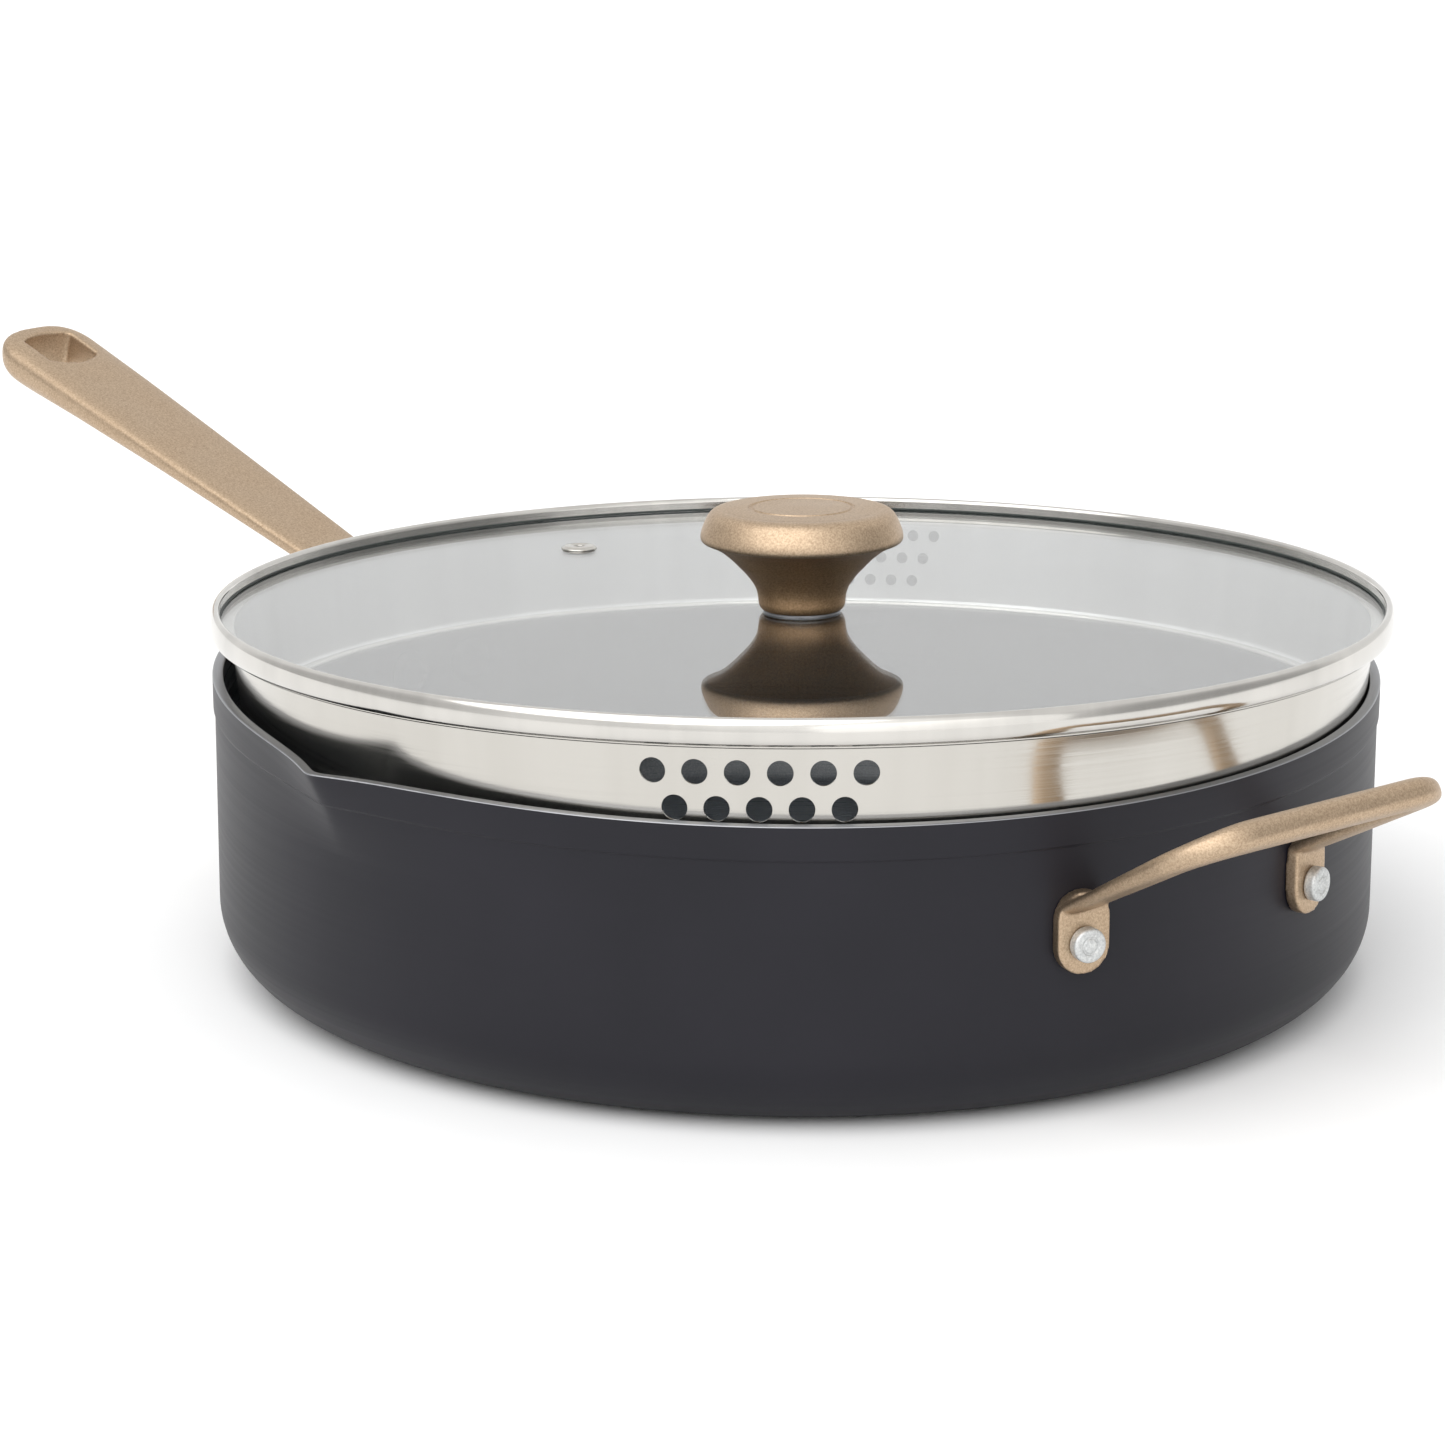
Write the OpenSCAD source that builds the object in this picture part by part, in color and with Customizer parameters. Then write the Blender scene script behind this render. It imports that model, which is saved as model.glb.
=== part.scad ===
// Twelve-inch saute pan with two pouring spouts, a long stick handle, a helper handle and a
// glass straining lid. Millimetres, +Z up, origin at the centre of the pan's underside.
// The stick handle lies along -X, the helper handle along +X and the spouts along +Y and -Y.
// The lid stands ajar: one edge of it rests on the rim and the opposite edge is raised.

/* [Pan] */
// Outside diameter of the rim
rim_d = 311; // [300:1:320]
// Height of the pan from the table to the rim
pan_h = 81; // [76:1:90]
// Thickness of the wall
wall_t = 2.9; // [2.5:0.1:3.2]
// Thickness of the floor
floor_t = 5; // [3:0.5:8]
// Outside radius of the bottom corner
corner_r = 20; // [12:1:26]
// Draft of the wall: how much smaller its radius is at the bottom corner
wall_draft = 0.5; // [0:0.1:1.5]
// Height of the band under the rim
band_h = 9.1; // [6:0.1:12]
// How far the band stands out past the wall
band_step = 0.6; // [0.2:0.1:1]
// How far a spout reaches past the rim
spout_reach = 10; // [6:0.5:14]
// Angle over which a spout fades to a third
spout_fade = 6.4; // [4:0.2:9]
// How far a spout runs down the wall
spout_drop = 24; // [16:1:30]

/* [Long handle] */
// Reach of the handle past the rim
handle_reach = 189.5; // [160:0.5:240]
// Height of the handle's top where it meets the wall
handle_root_z = 64; // [58:1:70]
// Rise of the handle for each millimetre of reach
handle_slope = 0.279; // [0.1:0.01:0.4]
// Width of the handle at its tip
handle_w = 31.6; // [28:0.2:36]

/* [Helper handle] */
// Distance of the grip bar from the pan's axis
grip_x = 196.5; // [188:0.5:210]
// Height of the grip bar's middle
grip_z = 82.2; // [76:0.2:92]
// Half the distance between the handle's two legs at the grip bar
loop_half_span = 41; // [36:0.5:46]
// Radius of the corners between the legs and the grip bar
loop_corner_r = 13; // [8:1:20]
// Half angle between the two feet
foot_angle = 14.8; // [12:0.2:18]
// Height of the handle rivets
rivet_z = 47.3; // [44:0.1:52]

/* [Lid] */
// Height of the lid's rim above the pan's rim, at the middle of the lid
lid_rise = 14.2; // [13.8:0.1:30]
// Tilt of the lid
lid_tilt = 3.55; // [0:0.05:3.6]
// Direction in which the lid's edge is raised, about +Z from +X
lid_tilt_dir = -33; // [-180:1:180]
// Sideways play of the lid in the pan, along X and Y
lid_shift = [1.0, 1.1]; // [-1:0.1:1.2]
// Outside diameter of the rolled lid rim
lid_d = 315.4; // [310:0.2:320]
// Height of the rolled rim's top above the middle of the lid
lip_top = 4.05; // [3.6:0.05:4.6]
// Depth of the straining collar below the middle of the rolled rim
collar_depth = 28.6; // [26:0.2:32]
// Outside radius of the collar at its top
collar_r = 151.9; // [149:0.1:152]
// How much the collar's radius narrows from its top to its foot
collar_draft = 2.7; // [2:0.1:4]
// Direction of the large straining holes, about +Z from +X
strain_dir = -46; // [-180:1:180]

/* [Knob] */
// Diameter of the knob's cap
cap_d = 54; // [44:1:64]
// Height of the knob's top above the middle of the rolled rim
cap_top = 29; // [26:0.2:36]
// Diameter of the stem where it meets the glass
stem_d = 21; // [18:1:26]

/* [Hidden] */
$fn = 96;

gold = "#c2a580";
steel = "#c9c6c0";
charcoal = "#3b3b40";
aluminium = "#b9bab9";

rim_r = rim_d / 2;
wall_r = rim_r - band_step;             // outside radius of the wall, just under the band
base_wall_r = wall_r - wall_draft;      // outside radius of the wall at the bottom corner
bend_h = 1.5;                           // half height of the soft bend under the band
inner_corner_r = corner_r - wall_t;
spout_half_angle = 30;                  // the spout has faded out at this angle

hole_from_tip = 14;                     // from the middle of the hanging hole to the handle's tip
hole_side = 14;                         // length of the hanging hole's straight sides
hole_half_w = 8.4;
hole_pan_bulge = 4;                     // how far its ends bow out, towards the pan and the tip
hole_tip_bulge = 2;

rivet_r = 3;
rivet_head_r = 4.5;
rivet_head_h = 3.2;
rivet_inner_r = 6.5;
rivet_inner_h = 1.7;
foot_t = 3.5;                           // thickness of both handles' feet
foot_back_r = wall_r - 0.05;            // where the feet lie on the wall
long_rivet_angle = 4.2;                 // half angle between the long handle's rivets
rivet_angles = [-foot_angle, foot_angle, 180 - long_rivet_angle, 180 + long_rivet_angle];

glass_top = 0.6;
glass_t = 3.2;
glass_bottom = glass_top - glass_t;
lip_w = 2.8;                            // width of the rolled rim's lip, seen from above
lip_in = lid_d / 2 - lip_w;             // inner radius of the lip
glass_r = lip_in + 0.4;
gasket_t = 0.6;
gasket_in = lip_in - 0.3;               // the gasket shows this far inside the lip
sheet_t = 0.8;                          // thickness of the lid's steel sheet
flange_top = glass_bottom - gasket_t;   // top of the collar's flange, under the gasket
big_hole_r = 3.3;
small_hole_r = 1.55;
vent_pos = [-110.5, 15.5];
vent_bore_r = 1.5;
screw_r = 2.5;
screw_play = 0.06;
seal_t = 0.5;
washer_t = 0.8;
washer_gap = 0.1;

// Points of an arc about [cx, cy] from angle a0 to a1, in steps of about 7 degrees
function arc(cx, cy, r, a0, a1) =
    let (n = max(2, ceil(abs(a1 - a0) / 7)))
    [for (i = [0:n]) let (a = a0 + (a1 - a0) * i / n) [cx + r * cos(a), cy + r * sin(a)]];

// A rectangle with rounded corners, centred on its middle, as points
function rounded_box(w, h, r) = concat(
    arc(w / 2 - r, h / 2 - r, r, 0, 90), arc(r - w / 2, h / 2 - r, r, 90, 180),
    arc(r - w / 2, r - h / 2, r, 180, 270), arc(w / 2 - r, r - h / 2, r, 270, 360));

// One closed section: y by z, flat on top and round underneath
function handle_section(half_w, top_h, low_h, flatness) =
    [for (i = [0:31]) let (a = i * 360 / 32, p = sin(a) > 0 ? 2 / flatness : 0.9)
        [half_w * sign(cos(a)) * pow(abs(cos(a)), p),
         (sin(a) > 0 ? top_h : low_h) * sign(sin(a)) * pow(abs(sin(a)), p)]];

// A solid through a list of rings that all have the same number of points
module skin(rings) {
    n = len(rings[0]);
    last = (len(rings) - 1) * n;
    polyhedron(
        points = [for (ring = rings) each ring],
        faces = concat(
            [[for (i = [0:n - 1]) i]],
            [for (j = [0:len(rings) - 2], i = [0:n - 1]) let (a = j * n + i, b = j * n + (i + 1) % n)
                [a, a + n, b]],
            [for (j = [0:len(rings) - 2], i = [0:n - 1]) let (a = j * n + i, b = j * n + (i + 1) % n)
                [b, a + n, b + n]],
            [[for (i = [0:n - 1]) last + n - 1 - i]]));
}

// Places a piece of the lid, drawn about the middle of its rolled rim, on the pan
module on_lid() {
    translate([lid_shift[0], lid_shift[1], pan_h + lid_rise])
        rotate([0, 0, lid_tilt_dir])
        rotate([0, -lid_tilt, 0])
        rotate([0, 0, -lid_tilt_dir])
        children();
}

// Outside and inside radius of the pan's upper wall at height z
function wall_out(z) = lookup(z, [
    [corner_r, base_wall_r], [pan_h - band_h - bend_h, wall_r],
    [pan_h - band_h + bend_h, rim_r - band_step / 3], [pan_h, rim_r]]);
function wall_in(z) = wall_out(z) - wall_t;

// How far a spout stands out from the wall, at an angle from its middle and a height
function spout_bulge(angle, z) =
    let (depth = max(0, (z - pan_h + spout_drop) / spout_drop), round_tip = 0.8)
    spout_reach * pow(depth, 1.3)
        * exp((round_tip - sqrt(angle * angle + round_tip * round_tip)) / spout_fade);

module pan_body() {
    low_z = pan_h - band_h - bend_h;
    high_z = pan_h - band_h + bend_h;
    spout_z = pan_h - spout_drop;
    edge = 0.4;                         // how much the rim's outer edge is broken
    corner_steps = 7;
    half_steps = 12;
    gap_steps = 30;

    // heights of the rows of points, going up the outside and down the inside of the wall
    rows = [spout_z, spout_z + 0.25 * (low_z - spout_z), spout_z + 0.5 * (low_z - spout_z),
            spout_z + 0.75 * (low_z - spout_z), low_z, high_z,
            high_z + 0.33 * (pan_h - high_z), high_z + 0.66 * (pan_h - high_z)];
    profile = concat(
        [for (i = [0:corner_steps]) let (a = -90 + 90 * i / corner_steps)
            [base_wall_r - corner_r + corner_r * cos(a), corner_r + corner_r * sin(a)]],
        [for (z = rows) [wall_out(z), z]],
        [[rim_r, pan_h - edge], [rim_r - edge, pan_h], [rim_r - wall_t, pan_h]],
        [for (i = [len(rows) - 1:-1:0]) [wall_in(rows[i]), rows[i]]],
        [for (i = [0:corner_steps]) let (a = -90 * i / corner_steps)
            [base_wall_r - wall_t - inner_corner_r + inner_corner_r * cos(a),
             floor_t + inner_corner_r + inner_corner_r * sin(a)]]);

    // directions round the pan, closest together in the middle of each spout
    directions = [for (side = [0, 1]) each concat(
        [for (k = [-half_steps:half_steps]) let (t = k / half_steps)
            -90 + 180 * side + spout_half_angle * sign(t) * pow(abs(t), 1.5)],
        [for (k = [1:gap_steps - 1])
            -90 + 180 * side + spout_half_angle + (180 - 2 * spout_half_angle) * k / gap_steps])];

    color(charcoal) difference() {
        skin([for (p = profile) [for (d = directions) let (
                near = min(abs(d + 90), abs(d - 90), abs(d - 270)),
                r = p[0] + spout_bulge(near, p[1]))
            [r * cos(d), r * sin(d), p[1]]]]);
        for (angle = rivet_angles)
            rotate([0, 0, angle]) translate([wall_r - 2 * wall_t, 0, rivet_z])
                rotate([0, 90, 0]) cylinder(r = rivet_r + 0.05, h = 4 * wall_t, $fn = 48);
    }
}

// The grip narrows to a thin neck and thickens again at the wall
function handle_depth(d) = lookup(d, [[0, 15], [14, 9], [34, 5.9], [70, 7.1], [112, 8.9],
    [150, 11.3], [178, 14]]);
function handle_half_w(d) = lookup(d, [[0, 15], [14, 13], [34, 10.5], [90, 12.9], [125, 14.3],
    [150, 15.2], [175, handle_w / 2]]);
function handle_top(d) = handle_root_z + handle_slope * d;

module long_handle() {
    tip_len = 10.3;
    grip_d = [-1, 4, 9, 14, 20, 27, 34, 46, 58, 70, 84, 98, 112, 125, 138, 150, 160, 170];
    tip_d = [for (a = [0:11.5:80.5]) a];
    grip = [for (d = grip_d)
        [for (p = handle_section(handle_half_w(d), 0.45 * handle_depth(d), 0.55 * handle_depth(d), 3.6))
            [-rim_r - d, -p[0], handle_top(d) - 0.45 * handle_depth(d) + p[1]]]];
    tip = [for (a = tip_d) let (
            d = handle_reach - tip_len + tip_len * sin(a), squeeze = sqrt(cos(a)),
            depth = handle_depth(d) * (0.35 + 0.65 * squeeze))
        [for (p = handle_section(handle_half_w(d) * (0.15 + 0.85 * squeeze), 0.45 * depth, 0.55 * depth, 3.6))
            [-rim_r - d, -p[0],
             handle_top(d) - 0.45 * handle_depth(d) - 1.2 * (1 - squeeze) + p[1]]]];
    pan_end_r = (pow(hole_half_w, 2) + pow(hole_pan_bulge, 2)) / (2 * hole_pan_bulge);
    tip_end_r = (pow(hole_half_w, 2) + pow(hole_tip_bulge, 2)) / (2 * hole_tip_bulge);
    pan_end_angle = asin(hole_half_w / pan_end_r);
    tip_end_angle = asin(hole_half_w / tip_end_r);
    hole_d = handle_reach - hole_from_tip;
    color(gold) difference() {
        union() {
            difference() {
                skin(concat(grip, tip));
                cylinder(r = rim_r + 0.12, h = 2 * pan_h, $fn = 180);
            }
            intersection() {
                translate([-rim_r, 0, rivet_z + 2]) rotate([90, 0, -90])
                    linear_extrude(2 * foot_t, center = true) polygon(rounded_box(42, 34, 9));
                difference() {
                    cylinder(r = foot_back_r + foot_t, h = pan_h, $fn = 180);
                    translate([0, 0, -1]) cylinder(r = foot_back_r, h = pan_h + 2, $fn = 180);
                }
            }
        }
        // the hanging hole, a barrel shape with crisp corners
        translate([-rim_r - hole_d, 0, handle_top(hole_d)]) rotate([0, atan(handle_slope), 0])
            linear_extrude(60, center = true) polygon(concat(
                arc(hole_side / 2 + hole_pan_bulge - pan_end_r, 0, pan_end_r,
                    -pan_end_angle, pan_end_angle),
                arc(tip_end_r - hole_side / 2 - hole_tip_bulge, 0, tip_end_r,
                    180 - tip_end_angle, 180 + tip_end_angle)));
        for (side = [-1, 1]) rotate([0, 0, 180 + side * long_rivet_angle])
            translate([rim_r - wall_t, 0, rivet_z]) rotate([0, 90, 0])
            cylinder(r = rivet_r + 0.05, h = 4 * foot_t, $fn = 48);
    }
}

module helper_handle() {
    root_x = foot_back_r * cos(foot_angle) + foot_t / 2;
    root_y = foot_back_r * sin(foot_angle);
    root_z = rivet_z + 9.5;
    corner_x = grip_x - loop_corner_r;
    corner_y = loop_half_span - loop_corner_r;
    // half of the loop's middle line, seen from above: a straight leg, then a corner
    half = concat(
        [for (i = [0:8]) [root_x + (corner_x - root_x) * i / 8,
                          root_y + (loop_half_span - root_y) * i / 8]],
        [for (a = [80:-10:0]) [corner_x + loop_corner_r * cos(a), corner_y + loop_corner_r * sin(a)]]);
    line = concat([for (p = half) [p[0], -p[1]]],
        [for (share = [-0.5:0.5:0.5]) [grip_x, share * corner_y]],
        [for (i = [len(half) - 1:-1:0]) half[i]]);
    rise = atan2(grip_z - root_z, grip_x - root_x);
    // the strap grows thicker and narrower from the feet to the grip bar
    rings = [for (i = [0:len(line) - 1]) let (
            a = line[max(0, i - 1)], b = line[min(len(line) - 1, i + 1)],
            l = norm(b - a), n = [(b[1] - a[1]) / l, (a[0] - b[0]) / l],
            share = (line[i][0] - root_x) / (grip_x - root_x),
            half_w = 7.2 - 2 * share, half_t = foot_t / 2 + 2.1 * pow(share, 0.8),
            lean = rise * n[0])
        [for (k = [0:19]) let (
                q = -k * 18, u = half_w * sign(cos(q)) * pow(abs(cos(q)), 0.7),
                v = half_t * sign(sin(q)) * pow(abs(sin(q)), 0.7),
                across = u * cos(lean) - v * sin(lean), up = u * sin(lean) + v * cos(lean))
            [line[i][0] + n[0] * across, line[i][1] + n[1] * across,
             root_z + (grip_z - root_z) * share + up]]];
    color(gold) difference() {
        union() {
            skin(rings);
            for (side = [-1, 1]) rotate([0, 0, side * foot_angle])
                translate([foot_back_r, 0, rivet_z + 2.6]) rotate([90, 0, 90])
                linear_extrude(foot_t) polygon(rounded_box(14.6, 21.6, 7.2));
        }
        for (side = [-1, 1]) rotate([0, 0, side * foot_angle])
            translate([rim_r - wall_t, 0, rivet_z]) rotate([0, 90, 0])
            cylinder(r = rivet_r + 0.05, h = 4 * foot_t, $fn = 48);
    }
}

module rivet() {
    inner_face = wall_in(rivet_z);
    outer_face = foot_back_r + foot_t;
    rotate([0, 90, 0]) rotate_extrude($fn = 64) polygon(concat(
        [[0, inner_face - rivet_inner_h], [rivet_inner_r - 2.2, inner_face - rivet_inner_h],
         [rivet_inner_r, inner_face - 0.65], [rivet_inner_r, inner_face - 0.4],
         [rivet_r, inner_face - 0.4], [rivet_r, outer_face], [rivet_head_r, outer_face],
         [rivet_head_r, outer_face + rivet_head_h - 0.9], [rivet_head_r - 0.9, outer_face + rivet_head_h],
         [2.1, outer_face + rivet_head_h], [1.9, outer_face + rivet_head_h - 0.25],
         [1.6, outer_face + rivet_head_h - 0.25], [1.4, outer_face + rivet_head_h],
         [0, outer_face + rivet_head_h]]));
}

module rivets() {
    color(aluminium) for (angle = rivet_angles)
        rotate([0, 0, angle]) translate([0, 0, rivet_z]) rivet();
}

module lid_glass() {
    color("#cfe0e0", 0.35) on_lid() difference() {
        translate([0, 0, glass_bottom]) cylinder(r = glass_r, h = glass_t, $fn = 180);
        translate([0, 0, glass_bottom - 1]) cylinder(r = 4.6, h = glass_t + 2);
        translate([vent_pos[0], vent_pos[1], glass_bottom - 1]) cylinder(r = 3.1, h = glass_t + 2);
    }
}

module rim_gasket() {
    color("#4c5450") on_lid() rotate_extrude($fn = 180) polygon([
        [gasket_in, glass_top], [glass_r, glass_top], [glass_r, glass_bottom],
        [gasket_in, glass_bottom], [gasket_in, flange_top],
        [glass_r + gasket_t, flange_top], [glass_r + gasket_t, glass_top + gasket_t],
        [gasket_in, glass_top + gasket_t]]);
}

// A steel band rolled over the edge of the glass, narrower than it is tall
module lid_rim() {
    color(steel) on_lid() rotate_extrude($fn = 180) translate([lip_in, 0]) polygon([
        [0, glass_top + gasket_t], [0, lip_top - 0.9], [0.35, lip_top - 0.25], [1.1, lip_top],
        [1.9, lip_top - 0.4], [2.45, lip_top - 1.4], [2.72, lip_top - 2.7],
        [lip_w, lip_top - 4.1], [2.62, lip_top - 5.5], [2.15, lip_top - 6.5],
        [1.6, flange_top + 0.3], [1.2, flange_top], [glass_r + gasket_t - lip_in, flange_top],
        [glass_r + gasket_t - lip_in, glass_top + gasket_t]]);
}

// A row of straining holes, spread about a direction
module hole_row(dir, count, pitch, z, r) {
    for (i = [0:count - 1])
        rotate([0, 0, dir + (i - (count - 1) / 2) * pitch])
            translate([collar_r - 8, 0, z]) rotate([0, 90, 0]) cylinder(r = r, h = 16, $fn = 32);
}

module strainer_collar() {
    foot_r = collar_r - collar_draft;   // outside radius at the foot of the wall
    flange_r = lip_in + 0.35;
    bend_r = 2.2;
    lip_r = 144.6;
    bottom = -collar_depth;
    color(steel) on_lid() difference() {
        rotate_extrude($fn = 180) polygon(concat(
            [[collar_r - sheet_t, flange_top], [collar_r - sheet_t, flange_top - 1.2]],
            arc(foot_r - bend_r, bottom + bend_r, bend_r - sheet_t, 0, -90),
            [[lip_r + 0.6, bottom + sheet_t]],
            arc(lip_r, bottom + 0.9, 0.9, 20, 270),
            arc(foot_r - bend_r, bottom + bend_r, bend_r, -90, 0),
            [[collar_r, flange_top - sheet_t], [flange_r - 0.3, flange_top - sheet_t],
             [flange_r, flange_top - sheet_t + 0.3], [flange_r, flange_top]]));
        hole_row(strain_dir, 6, 4.04, -10.9, big_hole_r);
        hole_row(strain_dir, 5, 4.04, -20.3, big_hole_r);
        hole_row(strain_dir + 180, 10, 2.33, -8.6, small_hole_r);
        hole_row(strain_dir + 180, 9, 2.33, -15.0, small_hole_r);
        hole_row(strain_dir + 180, 8, 2.33, -21.4, small_hole_r);
    }
}

module vent_eyelet() {
    color(steel) on_lid() translate([vent_pos[0], vent_pos[1], 0])
        rotate_extrude($fn = 64) polygon([
            [vent_bore_r, glass_bottom - 0.6], [4.4, glass_bottom - 0.6], [4.6, glass_bottom - 0.3],
            [4.6, glass_bottom], [3.0, glass_bottom], [3.0, glass_top], [5.0, glass_top],
            [4.9, glass_top + 0.4], [4.0, glass_top + 0.9], [2.6, glass_top + 1.1],
            [vent_bore_r, glass_top + 0.7]]);
}

stem_top = cap_top - 9.6;               // top of the stem, under the cap

// The cap is widest near its bottom edge and narrows to a slightly domed top
module knob_cap() {
    r = cap_d / 2;
    color(gold) on_lid() rotate_extrude($fn = 128) polygon([
        [0, stem_top], [r - 1.4, stem_top], [r - 0.4, stem_top + 0.45], [r, stem_top + 1.4],
        [r - 0.35, stem_top + 3.4], [r - 1.6, stem_top + 6.4], [r - 2.5, stem_top + 7.7],
        [r - 3.6, stem_top + 8.5], [r - 5, stem_top + 8.85], [14.3, cap_top - 0.3],
        [14, cap_top - 0.7], [13.2, cap_top - 0.7], [12.9, cap_top - 0.25], [0, cap_top]]);
}

// The stem stands nearly straight on the glass, then flares to the edge of the cap
module knob_stem() {
    base = glass_top + seal_t;
    foot = stem_d / 2;
    flare = cap_d / 2 - 1.6 - foot;
    color("#8f7458") on_lid() rotate_extrude($fn = 128) polygon(concat(
        [[4, base]],
        [for (p = [[-0.03, 0], [0.03, 0.03], [0.067, 0.09], [0.08, 0.18], [0.1, 0.27], [0.16, 0.385],
                   [0.295, 0.535], [0.436, 0.655], [0.55, 0.75], [0.67, 0.835], [0.805, 0.915],
                   [0.966, 0.985], [1, 1]])
            [foot + flare * p[0], base + (stem_top - base) * p[1]]],
        [[0, stem_top], [0, stem_top - 2.5], [4, stem_top - 2.5]]));
}

module knob_insert() {
    base = glass_top + seal_t;
    color("#b08d4f") on_lid() translate([0, 0, base]) difference() {
        cylinder(r = 4, h = stem_top - 2.5 - base, $fn = 48);
        translate([0, 0, -1]) cylinder(r = screw_r + screw_play, h = stem_top, $fn = 48);
    }
}

module knob_base_ring() {
    color(steel) on_lid() translate([0, 0, glass_top]) difference() {
        cylinder(r = stem_d / 2 - 0.2, h = seal_t);
        translate([0, 0, -1]) cylinder(r = 4.6, h = 3);
    }
}

module glass_seal() {
    color("#4c5450") on_lid() difference() {
        union() {
            translate([0, 0, glass_bottom - seal_t]) cylinder(r = 8.5, h = seal_t);
            translate([0, 0, glass_bottom]) cylinder(r = 4.5, h = glass_t + seal_t);
        }
        translate([0, 0, glass_bottom - 2]) cylinder(r = screw_r + screw_play, h = glass_t + 5, $fn = 48);
    }
}

module screw_washer() {
    color(steel) on_lid() translate([0, 0, glass_bottom - seal_t - washer_gap - washer_t]) difference() {
        cylinder(r = 7.5, h = washer_t);
        translate([0, 0, -1]) cylinder(r = screw_r, h = 3, $fn = 48);
    }
}

module knob_screw() {
    head_top = glass_bottom - seal_t - washer_gap - washer_t;
    color(steel) on_lid() difference() {
        rotate_extrude($fn = 64) polygon([
            [0, head_top - 2.8], [2.6, head_top - 2.8], [4.2, head_top - 1.9], [4.7, head_top - 0.8],
            [4.7, head_top], [screw_r, head_top], [screw_r, 12], [screw_r - 0.5, 12.6], [0, 12.6]]);
        for (a = [0, 90]) rotate([0, 0, a])
            translate([0, 0, head_top - 2.8]) cube([4.2, 0.9, 3], center = true);
    }
}

pan_body();
long_handle();
helper_handle();
rivets();
lid_glass();
rim_gasket();
lid_rim();
strainer_collar();
vent_eyelet();
knob_cap();
knob_stem();
knob_insert();
knob_base_ring();
glass_seal();
screw_washer();
knob_screw();
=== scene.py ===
import math

import bpy
import bmesh
import numpy as np
from mathutils import Matrix, Vector


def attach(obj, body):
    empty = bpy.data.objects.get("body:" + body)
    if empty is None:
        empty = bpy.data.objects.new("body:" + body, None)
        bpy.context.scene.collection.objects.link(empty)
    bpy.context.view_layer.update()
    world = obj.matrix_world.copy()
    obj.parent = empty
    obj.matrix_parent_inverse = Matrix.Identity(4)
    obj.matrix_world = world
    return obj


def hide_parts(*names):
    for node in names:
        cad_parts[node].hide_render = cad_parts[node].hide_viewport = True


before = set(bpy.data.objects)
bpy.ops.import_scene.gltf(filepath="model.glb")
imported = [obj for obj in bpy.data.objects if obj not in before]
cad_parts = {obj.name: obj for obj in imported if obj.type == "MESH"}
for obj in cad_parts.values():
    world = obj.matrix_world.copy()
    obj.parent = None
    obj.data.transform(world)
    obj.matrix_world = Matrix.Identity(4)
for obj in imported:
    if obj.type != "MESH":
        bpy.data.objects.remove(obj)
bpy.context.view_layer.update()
scene = bpy.context.scene
MM = 0.001

# ---------------------------------------------------------------- sizes, in mm, as the CAD has them
PAN_H, RIM_R, WALL_T, FLOOR_T, CORNER_R = 81.0, 155.5, 2.9, 5.0, 20.0
WALL_R = RIM_R - 0.6
BASE_WALL_R = WALL_R - 0.5
STEP_Z = PAN_H - 9.1
SPOUT_REACH, SPOUT_FADE, SPOUT_DROP = 10.0, 6.4, 24.0
RIVET_Z, FOOT_ANGLE, LONG_RIVET_ANGLE = 47.3, 14.8, 4.2
FOOT_T, FOOT_BACK_R = 3.5, WALL_R - 0.05
GRIP_X, GRIP_Z, LOOP_HALF_SPAN, LOOP_CORNER_R = 196.5, 82.2, 41.0, 13.0
HANDLE_REACH, HANDLE_ROOT_Z, HANDLE_SLOPE, HANDLE_W = 189.5, 64.0, 0.279, 31.6
GLASS_TOP, GLASS_BOTTOM = 0.6, -2.6
LIP_TOP, LIP_W, LIP_IN = 4.05, 2.8, 154.9
GLASS_R, GASKET_T = LIP_IN + 0.4, 0.6
FLANGE_TOP = GLASS_BOTTOM - GASKET_T
COLLAR_R, COLLAR_FOOT_R, COLLAR_DEPTH, SHEET_T = 151.9, 149.2, 28.6, 0.8
STRAIN_DIR = -46.0
BIG_HOLE_R, SMALL_HOLE_R = 3.3, 1.55
CAP_R, CAP_TOP, STEM_TOP, STEM_R = 27.0, 29.0, 19.4, 10.5

# widths and depths of the stick handle, as (distance from the rim, value)
HANDLE_DEPTH = [(0, 15), (14, 9), (34, 5.9), (70, 7.1), (112, 8.9), (150, 11.3), (178, 14)]
HANDLE_HALF_W = [(0, 15), (14, 13), (34, 10.5), (90, 12.9), (125, 14.3), (150, 15.2), (175, HANDLE_W / 2)]
HANDLE_TIP_LEN, HOLE_FROM_TIP = 10.3, 14.0

# the lid's own frame: its origin is on its axis, at the level from which the lid's heights are given
LID = (
    Matrix.Translation(Vector((1.0, 1.1, PAN_H + 14.2)) * MM)
    @ Matrix.Rotation(math.radians(-33), 4, "Z")
    @ Matrix.Rotation(math.radians(-3.55), 4, "Y")
    @ Matrix.Rotation(math.radians(33), 4, "Z")
)


# ---------------------------------------------------------------- mesh making
def make_object(name, verts, faces, place=None):
    """A mesh object from points in mm, with its normals turned outward."""
    mesh = bpy.data.meshes.new(name)
    mesh.from_pydata([tuple(c * MM for c in v) for v in verts], [], faces)
    bm = bmesh.new()
    bm.from_mesh(mesh)
    bmesh.ops.remove_doubles(bm, verts=bm.verts, dist=1e-7)
    bmesh.ops.recalc_face_normals(bm, faces=bm.faces)
    bm.to_mesh(mesh)
    bm.free()
    obj = bpy.data.objects.new(name, mesh)
    scene.collection.objects.link(obj)
    if place is not None:
        obj.matrix_world = place
    return obj


def smooth(obj, angle=35):
    obj.data.shade_smooth()
    obj.data.set_sharp_from_angle(angle=math.radians(angle))
    return obj


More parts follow.
